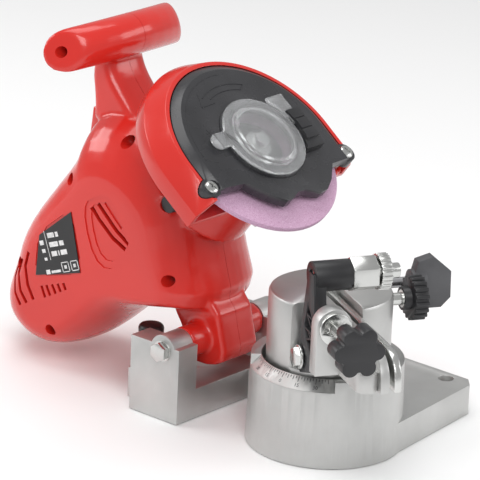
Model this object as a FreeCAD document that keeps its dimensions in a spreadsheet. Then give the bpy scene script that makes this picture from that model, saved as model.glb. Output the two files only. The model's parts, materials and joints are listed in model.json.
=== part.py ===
import FreeCAD, Part
import Sketcher
import math
import os

# Bench saw-chain sharpener.  X runs along the head's pivot, -Y is the front, Z is up.
# The origin is the vise's swivel axis, on the bottom of the base.

doc = FreeCAD.newDocument("Sharpener")
sheet = doc.addObject("Spreadsheet::Sheet", "Sizes")
Vector, Rotation, Placement = FreeCAD.Vector, FreeCAD.Rotation, FreeCAD.Placement
X, Y, Z = Vector(1, 0, 0), Vector(0, 1, 0), Vector(0, 0, 1)


class Size(float):
    """A number that remembers the spreadsheet expression it comes from."""

    def __new__(cls, value, text):
        item = float.__new__(cls, value)
        item.text = text
        return item

    def __add__(self, other):
        return Size(float(self) + float(other), f"({self.text} + {text(other)})")

    def __radd__(self, other):
        return Size(float(other) + float(self), f"({text(other)} + {self.text})")

    def __sub__(self, other):
        return Size(float(self) - float(other), f"({self.text} - {text(other)})")

    def __rsub__(self, other):
        return Size(float(other) - float(self), f"({text(other)} - {self.text})")

    def __mul__(self, other):
        return Size(float(self) * float(other), f"({self.text} * {text(other)})")

    __rmul__ = __mul__

    def __neg__(self):
        return Size(-float(self), f"(0 - {self.text})")


def text(value):
    return value.text if isinstance(value, Size) else repr(float(value))


def size(name, value):
    size.row += 1
    sheet.set(f"A{size.row}", name)
    sheet.set(f"B{size.row}", str(value))
    sheet.setAlias(f"B{size.row}", name)
    return Size(value, "Sizes." + name)


size.row = 0

plate_height = size("plate_height", 17.7)
pedestal_foot = size("pedestal_foot_radius", 44.0)
pedestal_rim = size("pedestal_rim_radius", 42.5)
pedestal_height = size("pedestal_height", 50.0)
recess_radius = size("recess_radius", 36.8)
recess_floor = size("recess_floor", 41.4)
plate_end = size("plate_end", 94.5)
bar_front = size("bar_front", 69.0)
bar_back = size("bar_back", 105.0)
ear_out = size("ear_outside", 46.0)
ear_in = size("ear_inside", 30.4)
ear_height = size("ear_height", 44.5)
pivot_y = size("pivot_y", 81.0)
pivot_z = size("pivot_z", 41.5)
pivot_radius = size("pivot_bolt_radius", 3.0)
boss_radius = size("pivot_boss_radius", 9.0)
bolt_hole = size("base_bolt_hole_radius", 4.5)
drum_radius = size("drum_radius", 34.4)
drum_bottom = size("drum_bottom", 42.4)
drum_top = size("drum_top", 89.4)
jaw_top = size("jaw_top", 85.6)
jaw_bottom = size("jaw_bottom", 65.4)
jaw_reach = size("jaw_reach", 98.0)
jaw_tail = size("jaw_tail", 5.0)
jaw_slot = size("jaw_slot", 2.7)
head_y = size("wheel_centre_y", 61.5)
head_z = size("wheel_centre_z", 152.5)
head_tilt = size("wheel_tilt_angle", 37.0)
vise_turn = size("vise_turn_angle", 30.0)
wheel_radius = size("wheel_radius", 54.0)
wheel_thick = size("wheel_thickness", 3.2)
wheel_bore = size("wheel_bore_radius", 11.1)
shaft_radius = size("shaft_radius", 5.0)
guard_radius = size("guard_radius", 66.0)
guard_front = size("guard_front_radius", 58.5)
guard_wall = size("guard_wall", 3.0)
guard_low = size("guard_low_edge", 25.0)
guard_back = size("guard_back", -12.5)
cover_radius = size("cover_radius", 55.2)
cover_face = size("cover_face_radius", 50.5)
shell_half = size("housing_half_width", 38.0)
shell_wall = size("housing_wall", 3.0)
grip_radius = size("grip_radius", 12.3)
play = size("running_clearance", 0.05)
gap = size("moving_gap", 0.3)

HEAD = Placement(Vector(0, head_y, head_z), Rotation(X, float(head_tilt)))
VISE = Placement(Vector(0, 0, 0), Rotation(Z, -float(vise_turn)))
HOME = Placement()
ALONG = {"x": Rotation(Y, 90), "y": Rotation(X, -90), "z": Rotation()}
nodes = []


def fresh(kind, name):
    return doc.addObject(kind, name)


def bind(item, prop, value):
    if isinstance(value, Size):
        item.setExpression(prop, value.text)
    else:
        setattr(item, prop, value)


def move(item, at, turn=None):
    item.Placement = Placement(Vector(*[float(v) for v in at]), turn or Rotation())
    for axis, value in zip("xyz", at):
        if isinstance(value, Size):
            item.setExpression(f"Placement.Base.{axis}", value.text)
    return item


def box(low, high):
    item = fresh("Part::Box", "Block")
    for prop, a, b in zip(("Length", "Width", "Height"), low, high):
        bind(item, prop, b - a)
    return move(item, low)


def rod(radius, start, end, at=(0, 0), axis="z"):
    """A cylinder from start to end along an axis; at gives the other two coordinates in order."""
    item = fresh("Part::Cylinder", "Round")
    bind(item, "Radius", radius)
    bind(item, "Height", end - start)
    base = {"x": (start, *at), "y": (at[0], start, at[1]), "z": (*at, start)}[axis]
    return move(item, base, ALONG[axis])


def cone(radius, far_radius, start, end, at=(0, 0), axis="z"):
    item = fresh("Part::Cone", "Taper")
    bind(item, "Radius1", radius)
    bind(item, "Radius2", far_radius)
    bind(item, "Height", end - start)
    base = {"x": (start, *at), "y": (at[0], start, at[1]), "z": (*at, start)}[axis]
    return move(item, base, ALONG[axis])


def prism(across_flats, sides, start, end, at=(0, 0), axis="z"):
    item = fresh("Part::Prism", "Prism")
    item.Polygon = sides
    bind(item, "Circumradius", across_flats / (2 * math.cos(math.pi / sides)))
    bind(item, "Height", end - start)
    base = {"x": (start, *at), "y": (at[0], start, at[1]), "z": (*at, start)}[axis]
    return move(item, base, ALONG[axis])


def fuse(*parts):
    if len(parts) == 1:
        return parts[0]
    item = fresh("Part::MultiFuse", "Joined")
    item.Shapes = list(parts)
    return item


def cut(base, *tools):
    item = fresh("Part::Cut", "Trimmed")
    item.Base = base
    item.Tool = fuse(*tools)
    return item


def group(*parts):
    item = fresh("Part::Compound", "Set")
    item.Links = list(parts)
    return item


def tube(outer, inner, start, end, at=(0, 0), axis="z"):
    return cut(rod(outer, start, end, at, axis), rod(inner, start - 1, end + 1, at, axis))


def keep(label, item, frame=HOME):
    item.Label = label
    item.Placement = frame * item.Placement
    for axis in "xyz":
        item.setExpression(f"Placement.Base.{axis}", None)
    nodes.append(item)
    return item


def role_plane(body, role):
    return [f for f in body.Origin.OriginFeatures if f.Role == role][0]


def draw(sketch, corners):
    """Straight outline through the corners, each fixed from the origin and bound to the sheet."""
    count = len(corners)
    for i in range(count):
        a, b = corners[i], corners[(i + 1) % count]
        line = Part.LineSegment(Vector(float(a[0]), float(a[1]), 0), Vector(float(b[0]), float(b[1]), 0))
        sketch.addGeometry(line, False)
    for i in range(count):
        sketch.addConstraint(Sketcher.Constraint("Coincident", i, 2, (i + 1) % count, 1))
    for i, corner in enumerate(corners):
        for kind, value in zip(("DistanceX", "DistanceY"), corner):
            index = sketch.addConstraint(Sketcher.Constraint(kind, -1, 1, i, 1, float(value)))
            if isinstance(value, Size):
                sketch.setExpression(f"Constraints[{index}]", value.text)


def body_sketch(name, role, corners):
    body = fresh("PartDesign::Body", name)
    sketch = body.newObject("Sketcher::SketchObject", name + "_outline")
    sketch.AttachmentSupport = [(role_plane(body, role), "")]
    sketch.MapMode = "FlatFace"
    draw(sketch, corners)
    return body, sketch


def pad(corners, start, end, role="XY_Plane"):
    """A PartDesign body: the outline padded from start to end along the plane's normal."""
    body, sketch = body_sketch("Padded", role, corners)
    sketch.AttachmentOffset = Placement(Vector(0, 0, float(start)), Rotation())
    if isinstance(start, Size):
        sketch.setExpression("AttachmentOffset.Base.z", start.text)
    feature = body.newObject("PartDesign::Pad", "Pad")
    feature.Profile = sketch
    bind(feature, "Length", end - start)
    return body


def turned(corners, angle=360.0):
    """A PartDesign body: an outline of (radius, height) corners turned about Z."""
    body, sketch = body_sketch("Turned", "XZ_Plane", corners)
    feature = body.newObject("PartDesign::Revolution", "Turn")
    feature.Profile = sketch
    feature.ReferenceAxis = (sketch, ["V_Axis"])
    feature.Angle = angle
    feature.Midplane = True
    return body


def loft(wires, ruled=True):
    item = fresh("Part::Feature", "Skin")
    item.Shape = Part.makeLoft(wires, True, ruled)
    return item


def horseshoe(radius, low, height):
    """A closed wire: a half circle over straight sides that end at y = -low."""
    r, y, z = float(radius), -float(low), float(height)
    arc = Part.Arc(Vector(r, 0, z), Vector(0, r, z), Vector(-r, 0, z)).toShape()
    corners = [Vector(-r, 0, z), Vector(-r, y, z), Vector(r, y, z), Vector(r, 0, z)]
    sides = [Part.makeLine(a, b) for a, b in zip(corners, corners[1:])]
    return Part.Wire([arc] + sides)


# ---------------------------------------------------------------- base
plate = pad([(0.0, -43.0), (88.0, -34.0), (plate_end, -28.0), (plate_end, 50.0), (ear_out, bar_back),
             (-ear_out, bar_back), (-ear_out, bar_front), (15.0, bar_front), (15.0, 20.0), (0.0, 20.0)],
            0.0, plate_height)
post_bore = size("post_bore_radius", 6.05)
pedestal = turned([(post_bore, 14.0), (16.0, 14.0), (16.0, 0.0), (pedestal_foot, 0.0),
                   (pedestal_rim, pedestal_height), (recess_radius, pedestal_height),
                   (recess_radius, recess_floor), (post_bore, recess_floor)])
bevel = turned([(recess_radius, pedestal_height + 0.5), (recess_radius, pedestal_height),
                (pedestal_rim, pedestal_height - 6.0), (46.0, pedestal_height - 6.0),
                (46.0, pedestal_height + 0.5)], 90.0)
bevel.Placement = Placement(Vector(), Rotation(Z, 180))
ears = [box((side * (ear_out + ear_in) * 0.5 - 7.8, bar_front, 0.0),
            (side * (ear_out + ear_in) * 0.5 + 7.8, bar_back, ear_height)) for side in (-1, 1)]
bosses = [rod(boss_radius, side * (ear_out + ear_in) * 0.5 - 7.8, side * (ear_out + ear_in) * 0.5 + 7.8,
              (pivot_y, pivot_z), "x") for side in (-1, 1)]
rest_at = (-23.6, 110.0)
lug = box((-33.0, 100.0, 0.0), (-14.0, 118.0, plate_height))
plate_holes = [rod(bolt_hole, -1.0, plate_height + 1, at) for at in ((86.2, -18.2), (86.0, 38.0))]
plate_trim = cut(fuse(plate, lug), rod(40.0, -1.0, plate_height + 1), *plate_holes)
casting = cut(fuse(plate_trim, pedestal, *ears, *bosses), bevel,
              rod(pivot_radius + 0.2, -50.0, 50.0, (pivot_y, pivot_z), "x"),
              rod(2.6, 2.0, 20.0, rest_at))
keep("base_casting", casting)
keep("swivel_washer", turned([(7.0, recess_floor), (30.0, recess_floor), (30.0, recess_floor + 0.9),
                              (7.0, recess_floor + 0.9)]))
keep("pivot_bolt", fuse(prism(10.0, 6, -51.0, -47.2, (pivot_y, pivot_z), "x"),
                        rod(pivot_radius, -48.0, 54.0, (pivot_y, pivot_z), "x")))
keep("pivot_nut", cut(prism(10.0, 6, 47.2, 52.2, (pivot_y, pivot_z), "x"),
                      rod(pivot_radius + play, 46.0, 54.0, (pivot_y, pivot_z), "x")))
keep("pivot_washers", group(*[tube(6.0, pivot_radius + play, a, a + 1.1, (pivot_y, pivot_z), "x")
                              for a in (-47.1, 46.0)]))
knob_top = size("rest_knob_top", 43.5)
keep("rest_knob", fuse(cone(6.0, 7.5, knob_top - 15, knob_top - 2, rest_at),
                       cone(7.5, 6.5, knob_top - 2, knob_top, rest_at)))
keep("rest_screw", rod(2.5, 4.0, knob_top - 15.05, rest_at))

# ---------------------------------------------------------------- vise, about the swivel axis
drum = turned([(post_bore, drum_bottom), (drum_radius, drum_bottom), (drum_radius, drum_top - 2.5),
               (drum_radius - 0.8, drum_top - 0.8), (drum_radius - 2.5, drum_top), (0.0, drum_top),
               (0.0, 62.0), (post_bore, 62.0)])
clamp_at = (-2.0, 80.5)
wing_at = (17.5, 82.5)
drum_cut = cut(drum, box((-8.1, -36.0, jaw_bottom - gap), (5.6, jaw_tail + 0.5, drum_top + 1)),
               box((-19.8, -36.0, jaw_bottom - gap), (-8.0, -14.0, drum_top + 1)),
               box((-40.0, -45.0, 52.0), (-19.0, -18.0, drum_top + 1)),
               rod(3.55, 5.0, 36.0, clamp_at, "x"), rod(3.05, 24.0, 36.0, wing_at, "x"),
               rod(3.05, -20.0, -12.0, (-27.0, 61.5), "x"))
keep("vise_drum", drum_cut, VISE)
keep("swivel_post", fuse(rod(6.0, 9.0, 60.0), rod(11.0, 3.0, 9.5)), VISE)
keep("post_washer", tube(14.0, 6.02, 9.6, 13.7), VISE)


def jaw_bar(left, right):
    """A bar standing on edge, running out to the front, with a rounded upper nose."""
    nose_radius = 15.0
    arc = [(nose_radius - jaw_reach + -nose_radius * math.sin(a), jaw_top - nose_radius * (1 - math.cos(a)))
           for a in [math.radians(d) for d in range(0, 91, 15)]]
    outline = [(jaw_tail, jaw_bottom), (jaw_tail, jaw_top)] + arc + [(-jaw_reach, jaw_bottom)]
    return pad(outline, left, right, "YZ_Plane")


near_jaw = fuse(jaw_bar(-7.8, -2.8),
                box((-19.4, -90.0, jaw_bottom), (-7.0, -14.3, 76.0)),
                rod(6.2, jaw_bottom, 76.0, (-13.2, -90.0)),
                box((-33.0, -66.0, jaw_bottom), (-13.0, -57.2, 92.6)),
                rod(10.0, -66.0, -57.2, (-23.0, 92.6), "y"))
keep("near_jaw", cut(near_jaw, rod(3.05, -70.0, -50.0, (-23.0, 92.0), "y")), VISE)
keep("screw_nut_disc", cut(rod(9.0, -68.2, -66.05, (-23.0, 92.0), "y"),
                           rod(3.05, -70.0, -60.0, (-23.0, 92.0), "y"),
                           *[rod(1.2, -70.0, -60.0, (-23.0 + dx, 92.0), "y") for dx in (-5.2, 5.2)]), VISE)
keep("arm_pivot_bolt", fuse(prism(10.0, 6, -31.0, -28.2, (-27.0, 61.5), "x"),
                            rod(6.8, -28.3, -26.9, (-27.0, 61.5), "x"),
                            rod(3.0, -27.0, -13.0, (-27.0, 61.5), "x")), VISE)
keep("jaw_plate", jaw_bar(jaw_slot - 2.8, 4.0), VISE)
keep("clamp_screw", fuse(rod(3.5, 5.9, 41.0, clamp_at, "x"), rod(5.0, 41.0, 46.0, clamp_at, "x")), VISE)
ribs = 18
clamp_grip = fuse(rod(11.4, 45.2, 53.0, clamp_at, "x"),
                  *[rod(1.3, 45.2, 53.0, (clamp_at[0] + 11.4 * math.cos(i * 2 * math.pi / ribs),
                                          clamp_at[1] + 11.4 * math.sin(i * 2 * math.pi / ribs)), "x")
                    for i in range(ribs)], rod(6.5, 41.0, 46.0, clamp_at, "x"))
keep("clamp_knob", cut(clamp_grip, rod(5.05, 40.0, 46.1, clamp_at, "x")), VISE)
keep("wing_screw", rod(3.0, 26.0, 57.0, wing_at, "x"), VISE)
wing_outline = [(56.0, 73.0), (53.6, 82.5), (57.0, 95.0), (66.0, 97.5), (77.0, 88.0), (77.5, 72.5),
                (72.0, 67.0), (63.0, 67.0)]
wing_blade = pad(wing_outline, -wing_at[0] - 3.5, -wing_at[0] + 3.5, "XZ_Plane")
wings = fuse(rod(7.0, 53.6, 62.0, wing_at, "x"), wing_blade)
keep("wing_knob", cut(wings, rod(3.05, 49.0, 57.05, wing_at, "x")), VISE)
screw_at = (-23.0, 92.0)
keep("feed_screw", fuse(rod(3.0, -93.0, -50.0, screw_at, "y"),
                        cone(3.0, 1.6, -50.0, -48.6, screw_at, "y")), VISE)
lobes = [rod(4.6, -104.0, -92.0, (screw_at[0] + 9.6 * math.cos(i * math.pi / 3),
                                  screw_at[1] + 9.6 * math.sin(i * math.pi / 3)), "y") for i in range(6)]
keep("feed_knob", cut(fuse(rod(10.5, -104.0, -92.0, screw_at, "y"), *lobes, rod(5.5, -93.0, -88.0, screw_at, "y")),
                      rod(3.05, -93.1, -87.0, screw_at, "y")), VISE)
arm_at = (-27.0, 61.5)
arm_plate = pad([(-31.5, 113.0), (-31.0, 107.0), (-25.0, 79.0), (-21.5, 68.0), (-21.5, 56.0), (-27.0, 52.5),
                 (-40.0, 57.0), (-56.0, 68.5), (-44.0, 92.0), (-40.5, 113.0)], -26.5, -19.5, "YZ_Plane")
arm = cut(fuse(arm_plate, rod(8.5, -25.0, -4.0, (-34.0, 110.0), "x")),
          rod(3.1, -30.0, -15.0, arm_at, "x"), rod(4.25, -26.0, -3.0, (-34.0, 110.0), "x"),
          pad([(-34.0, 96.0), (-41.0, 90.0), (-50.0, 70.5), (-42.0, 66.5), (-33.0, 74.0), (-30.0, 82.0)],
              -28.0, -24.2, "YZ_Plane"))
keep("stop_arm", arm, VISE)
top_at = (-34.0, 110.0)
keep("stop_shaft", rod(4.2, -24.0, 25.0, top_at, "x"), VISE)
keep("stop_sleeve", cut(prism(17.0, 6, -3.9, 11.0, top_at, "x"), rod(4.25, -5.0, 12.0, top_at, "x")), VISE)
keep("knurled_ring", cut(fuse(rod(9.6, 12.0, 18.0, top_at, "x"),
                              *[rod(0.7, 12.0, 18.0, (top_at[0] + 9.5 * math.cos(i * math.pi / 12),
                                                      top_at[1] + 9.5 * math.sin(i * math.pi / 12)), "x")
                                for i in range(24)]),
                         rod(4.25, 11.0, 19.0, top_at, "x")), VISE)

# ---------------------------------------------------------------- wheel, guard and cover, along the spindle
half_wheel = wheel_thick * 0.5
keep("grinding_wheel", turned([(wheel_bore, -half_wheel), (wheel_radius, -half_wheel),
                               (wheel_radius, half_wheel), (wheel_bore, half_wheel)]), HEAD)
keep("inner_flange", turned([(shaft_radius + play, -7.0), (18.0, -7.0), (18.0, -half_wheel - play),
                             (wheel_bore - play, -half_wheel - play), (wheel_bore - play, 1.4),
                             (shaft_radius + play, 1.4)]), HEAD)
keep("outer_flange", turned([(2.6, half_wheel + play), (18.0, half_wheel + play), (18.0, 4.0), (8.0, 4.6),
                             (8.0, 8.7), (2.6, 8.7)]), HEAD)
keep("spindle_screw", fuse(prism(8.0, 6, 8.8, 12.6), rod(2.4, -14.0, 9.0)), HEAD)
keep("motor_shaft", turned([(0.0, -124.0), (4.0, -124.0), (4.0, -114.0), (shaft_radius, -114.0),
                            (shaft_radius, 1.3), (2.45, 1.3), (2.45, -15.0), (0.0, -15.0)]), HEAD)
outer_skin = loft([horseshoe(guard_radius, guard_low, guard_back), horseshoe(guard_radius, guard_low, -3.0),
                   horseshoe(guard_front, guard_low, 8.0)])
inner_skin = loft([horseshoe(guard_radius - guard_wall, guard_low + 1, guard_back + 3),
                   horseshoe(guard_radius - guard_wall, guard_low + 1, -3.0),
                   horseshoe(cover_radius + 0.6, guard_low + 1, 8.1)])
lug_spots = ((-55.0, -17.0), (55.0, -22.0))
rear_posts = [(28.0 * math.cos(a), 28.0 * math.sin(a)) for a in [math.radians(d) for d in (30, 150, 270)]]
guard = cut(outer_skin, inner_skin, rod(11.4, -30.0, -8.0), *[rod(6.4, -6.0, 9.0, at) for at in lug_spots],
            *[rod(2.1, guard_back - 1, guard_back + 5, at) for at in rear_posts])
posts = [cut(rod(4.5, guard_back + 2, -4.0, at), rod(2.1, -10.4, -3.0, at)) for at in lug_spots]
pin = rod(3.0, guard_back - 9, guard_back + 0.1, (-50.0, 20.8))
keep("wheel_guard", fuse(guard, *posts, pin), HEAD)
wave = [(50.0, 27.0), (37.0, 27.0), (34.0, 30.0), (28.0, 36.0), (20.0, 41.0), (14.0, 41.5), (5.0, 37.0),
        (-2.0, 37.0), (-9.0, 40.0), (-13.0, 40.0), (-20.0, 35.0), (-26.0, 29.0), (-32.0, 22.0), (-50.0, 20.5)]


def cover_wire(radius, rise, height):
    """The cover's outline: a half circle, straight sides and the wavy lower edge lifted by rise."""
    r, z = float(radius), float(height)
    arc = Part.Arc(Vector(r, 0, z), Vector(0, r, z), Vector(-r, 0, z)).toShape()
    low = [(x * r / 50.0 if abs(x) == 50.0 else x, -w + rise) for x, w in wave]
    points = [Vector(-r, 0, z)] + [Vector(x, y, z) for x, y in reversed(low)] + [Vector(r, 0, z)]
    return Part.Wire([arc] + [Part.makeLine(a, b) for a, b in zip(points, points[1:])])


cover_skin = loft([cover_wire(cover_radius, 0, 5.0), cover_wire(cover_radius, 0, 8.0),
                   cover_wire(cover_face, 0, 11.0)])
cover_hollow = loft([cover_wire(cover_radius - 2, 2.2, 4.9), cover_wire(cover_radius - 2, 2.2, 7.0),
                     cover_wire(cover_face - 1.5, 2.2, 8.9)])
cover = cut(fuse(cut(cover_skin, cover_hollow), *[rod(6.0, 2.4, 8.5, at) for at in lug_spots],
                 rod(27.0, 10.0, 12.8)),
            rod(19.8, 4.0, 14.0), *[rod(2.1, 1.0, 9.0, at) for at in lug_spots],
            *[rod(4.5, 8.5, 12.0, at) for at in lug_spots])
keep("wheel_cover", cover, HEAD)
keep("cover_screws", group(*[fuse(cone(4.2, 3.2, 8.6, 10.8, at), rod(2.0, -9.0, 8.7, at)) for at in lug_spots]),
     HEAD)
keep("guard_screws", group(*[fuse(rod(3.6, guard_back + 3.05, guard_back + 5, at),
                                  rod(1.9, -30.0, guard_back + 3.5, at)) for at in rear_posts]), HEAD)
dome = turned([(20.8, 13.0), (26.2, 13.0), (26.2, 15.0), (20.8, 15.2), (19.8, 17.4), (17.8, 18.2), (0.0, 18.4),
               (0.0, 16.6), (17.2, 16.5), (18.8, 14.6), (18.8, 13.0)])
keep("window_cover", fuse(dome, box((-33.0, 0.5, 13.0), (-24.0, 10.5, 15.0)), rod(5.0, 13.0, 15.0, (-33.0, 5.5))),
     HEAD)
keep("insert_holder", cut(box((20.0, -16.0, 11.1), (36.0, 10.0, 17.5)), rod(27.2, 10.0, 19.0),
                          box((19.0, 2.0, 13.5), (33.5, 10.5, 15.8))), HEAD)
keep("clear_insert", cut(box((20.0, 2.3, 13.7), (33.0, 22.0, 15.6)), rod(27.2, 10.0, 19.0)), HEAD)

# ---------------------------------------------------------------- motor, behind the wheel on the same line
keep("front_bearing", tube(11.0, shaft_radius + play, -36.0, -29.0), HEAD)
keep("rear_bearing", tube(8.0, 4.0 + play, -122.0, -116.0), HEAD)
keep("stator_core", tube(20.2, 15.2, -98.0, -66.0), HEAD)
keep("field_coils", group(tube(19.4, 15.6, -101.5, -98.2), tube(19.4, 15.6, -65.8, -63.0)), HEAD)
keep("armature_core", tube(14.6, shaft_radius + 0.02, -98.0, -66.0), HEAD)
keep("commutator", tube(8.0, shaft_radius + 0.02, -112.0, -103.0), HEAD)
blades = [box((7.0, -0.8, -61.0), (15.0, 0.8, -56.0)) for i in range(8)]
for i, blade in enumerate(blades):
    blade.Placement = Placement(Vector(), Rotation(Z, 45.0 * i)) * blade.Placement
keep("cooling_fan", fuse(tube(8.0, shaft_radius + 0.02, -61.0, -53.0), tube(15.5, 7.0, -61.9, -60.5), *blades), HEAD)
keep("carbon_brushes", group(*[box((min(s * 8.1, s * 15.0), -2.0, -110.0), (max(s * 8.1, s * 15.0), 2.0, -105.0))
                               for s in (-1, 1)]), HEAD)
keep("brush_holders", group(*[cut(box((min(s * 10.0, s * 19.0), -3.6, -111.6), (max(s * 10.0, s * 19.0), 3.6, -103.4)),
                                  box((min(s * 9.0, s * 15.4), -2.1, -110.1), (max(s * 9.0, s * 15.4), 2.1, -104.9)))
                              for s in (-1, 1)]), HEAD)

# ---------------------------------------------------------------- housing, two shells that meet at X = 0
BODY = [(69.0, 60.0), (80.0, 95.0), (86.0, 127.0), (112.0, 149.0), (137.0, 163.0), (158.0, 160.0),
        (167.0, 150.0), (169.0, 139.0), (175.0, 128.0), (188.0, 111.0), (204.0, 90.0), (213.0, 74.0),
        (218.0, 57.0), (223.5, 44.0), (226.5, 33.0), (224.0, 22.0), (213.0, 12.5), (199.0, 7.5),
        (185.0, 7.0), (171.0, 12.5), (157.0, 23.5), (141.0, 38.5), (128.0, 47.0), (114.0, 51.0), (92.0, 57.0)]
SIDE = [(94.0, 67.0), (103.0, 84.0), (112.0, 108.0), (124.0, 118.0), (138.0, 120.0), (148.0, 118.0),
        (154.0, 114.0), (159.0, 110.0), (164.0, 105.0), (173.0, 96.0), (185.0, 82.0), (192.0, 70.0),
        (195.0, 58.0), (198.0, 47.0), (200.0, 38.0), (198.0, 30.0), (192.0, 25.0), (185.0, 23.5),
        (178.0, 25.0), (170.0, 30.0), (160.0, 40.0), (147.0, 53.0), (134.0, 59.0), (119.0, 60.5), (104.0, 62.0)]
BULGE = ((0.0, 0.0), (0.34, 0.06), (0.62, 0.21), (0.84, 0.46), (0.96, 0.72), (1.0, 1.0))


def inset(points, distance):
    """Move every corner of a clockwise outline inwards by distance."""
    moved = []
    for i, here in enumerate(points):
        before, after = points[i - 1], points[(i + 1) % len(points)]
        a = Vector(here[0] - before[0], here[1] - before[1], 0).normalize()
        b = Vector(after[0] - here[0], after[1] - here[1], 0).normalize()
        n = Vector(a.y + b.y, -a.x - b.x, 0).normalize()
        stretch = max(0.5, n.dot(Vector(a.y, -a.x, 0)))
        moved.append((here[0] + n.x * distance / stretch, here[1] + n.y * distance / stretch))
    return moved


def slice_ring(points, x):
    return [Vector(x, y, z) for y, z in points]


def facet(*corners):
    return Part.Face(Part.makePolygon([*corners, corners[0]]))


def faceted(rings):
    """A closed solid of flat triangles through rings of matching points, with flat end faces."""
    faces = [facet(*rings[0]), facet(*rings[-1])]
    for low, high in zip(rings, rings[1:]):
        for i in range(len(low)):
            k = (i + 1) % len(low)
            faces += [facet(low[i], low[k], high[k]), facet(low[i], high[k], high[i])]
    item = fresh("Part::Feature", "Facets")
    item.Shape = Part.Solid(Part.makeShell(faces))
    return item


def between(outer, inner, part):
    return [(a[0] + (b[0] - a[0]) * part, a[1] + (b[1] - a[1]) * part) for a, b in zip(outer, inner)]


def pillow(half, skin, side):
    """One side of the motor housing: the middle outline swells out to the smaller side face."""
    outer, inner = inset(BODY, skin), inset(SIDE, skin * 0.5)
    return faceted([slice_ring(between(outer, inner, part), side * (float(half) - skin) * reach)
                    for reach, part in BULGE])


KNUCKLE = [(61.5, 32.0), (66.0, 48.0), (69.0, 61.0), (90.0, 75.0), (104.0, 60.0), (101.0, 51.5), (96.0, 44.8),
           (93.5, 38.5), (92.0, 31.0), (89.0, 25.5), (72.7, 25.5)]
NECK = [(122.0, 150.0), (137.0, 162.0), (144.0, 169.0), (152.0, 178.0), (156.0, 187.0), (156.5, 196.0),
        (167.0, 196.0), (169.5, 188.0), (171.5, 177.0), (170.0, 168.0), (169.0, 158.0), (169.5, 146.0)]
SCREWS = ((89.4, 77.6), (175.6, 25.0), (166.0, 118.5), (203.0, 58.5), (130.5, 147.5))
grip_end = 47.0


def grip_centre(x):
    """The cross handle's middle line: its ends bend back and droop a little."""
    bend = (x / grip_end) ** 2
    return 155.0 + 9.0 * bend, 200.0 - 3.5 * bend


def grip_ring(radius, x, slant):
    """One 24-sided ring of the handle. A slanted ring reaches further out at the back than at the front."""
    y, z = grip_centre(x)
    ring = [(radius * math.cos(math.radians(15 * k)), radius * math.sin(math.radians(15 * k)))
            for k in range(24)]
    return [Vector(x + math.copysign(slant, x) * (0.45 * dy - 0.25 * dz), y + dy, z + dz) for dy, dz in ring]


def half_shell(side):
    far = 70.0
    knuckle = pad(KNUCKLE, min(0, side * 15.0), max(0, side * 15.0), "YZ_Plane")
    neck = faceted([slice_ring(inset(NECK, d), side * x)
                    for x, d in ((0, 0.0), (9.0, 0.0), (13.5, 1.6), (16.0, 4.5))])
    boss = rod(9.3, min(0.0, side * 30.0), max(0.0, side * 30.0), (pivot_y, pivot_z), "x")
    collar = rod(25.0, -50.0, guard_back - 0.2)
    collar.Placement = HEAD * collar.Placement
    radius = float(grip_radius)
    grip = faceted([grip_ring(radius, side * grip_end * reach, reach) for reach in (0.0, 0.3, 0.6, 0.85)]
                   + [grip_ring(radius - 0.6, side * (grip_end - 1.5), 1.0),
                      grip_ring(radius - 2.5, side * grip_end, 1.0)])
    grip_hollow = faceted([grip_ring(radius - 4.0, side * reach, 0.0) for reach in (0.0, 15.0, 30.0)])
    recess_at = grip_centre(grip_end)
    solid = fuse(pillow(shell_half, 0.0, side), knuckle, neck, boss, collar, grip)
    motor_room = [rod(20.6, -103.0, -51.0), rod(11.05, -55.0, -11.0), rod(8.05, -123.0, -102.0),
                  rod(19.5, -112.5, -102.5), *[rod(1.95, -31.0, -11.0, at) for at in rear_posts]]
    for room in motor_room:
        room.Placement = HEAD * room.Placement
    recesses = [rod(3.3, min(side * 21.0, side * 42.0), max(side * 21.0, side * 42.0), at, "x") for at in SCREWS]
    pilots = [rod(1.65, min(0.0, side * 24.0), max(0.0, side * 24.0), at, "x") for at in SCREWS]
    other = box((min(0.0, -side * far), 40.0, 0.0), (max(0.0, -side * far), 240.0, 220.0))
    seam = box((-0.04, 40.0, 0.0), (0.04, 240.0, 220.0))
    tools = motor_room + recesses + pilots + [other, seam, pillow(shell_half, float(shell_wall), side),
                                     rod(4.55, -31.0, 31.0, (pivot_y, pivot_z), "x"),
                                     rod(8.4, -11.4, 11.4, (pivot_y, pivot_z), "x"),
                                     grip_hollow,
                                     rod(3.4, min(side * 35.0, side * 60.0), max(side * 35.0, side * 60.0),
                                         recess_at, "x")]
    return cut(solid, *tools)


left_shell = half_shell(-1)
right_shell = half_shell(1)
switch_room = ((-7.4, 147.8, 133.6), (7.4, 190.0, 154.4))
button_room = rod(5.2, -45.0, -18.5, (95.0, 120.5), "x")
keep("housing_left", cut(left_shell, box(*switch_room), rod(7.1, 215.0, 240.0, (0.0, 33.0), "y"), button_room))
keep("housing_right", cut(right_shell, box(*switch_room), rod(7.1, 215.0, 240.0, (0.0, 33.0), "y")))
keep("housing_screws", group(*[fuse(rod(3.1, -24.5, -22.1, at, "x"), rod(1.6, -23.0, 12.0, at, "x"))
                               for at in SCREWS]))
keep("pivot_bush", tube(4.5, pivot_radius + play, -30.0, 30.0, (pivot_y, pivot_z), "x"))
keep("label_plate", pad([(161.0, 101.0), (185.0, 81.0), (187.0, 56.0), (152.5, 66.5)], -38.6, -38.05, "YZ_Plane"))
keep("switch_body", box((-7.0, 148.0, 134.0), (7.0, 163.0, 154.0)))
keep("paddle_switch", pad([(166.0, 134.0), (177.5, 134.0), (176.0, 145.0), (175.0, 154.0), (166.0, 154.0)],
                          -7.0, 7.0, "YZ_Plane"))
keep("lock_button", rod(5.0, -30.5, -21.0, (95.0, 120.5), "x"))
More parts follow.
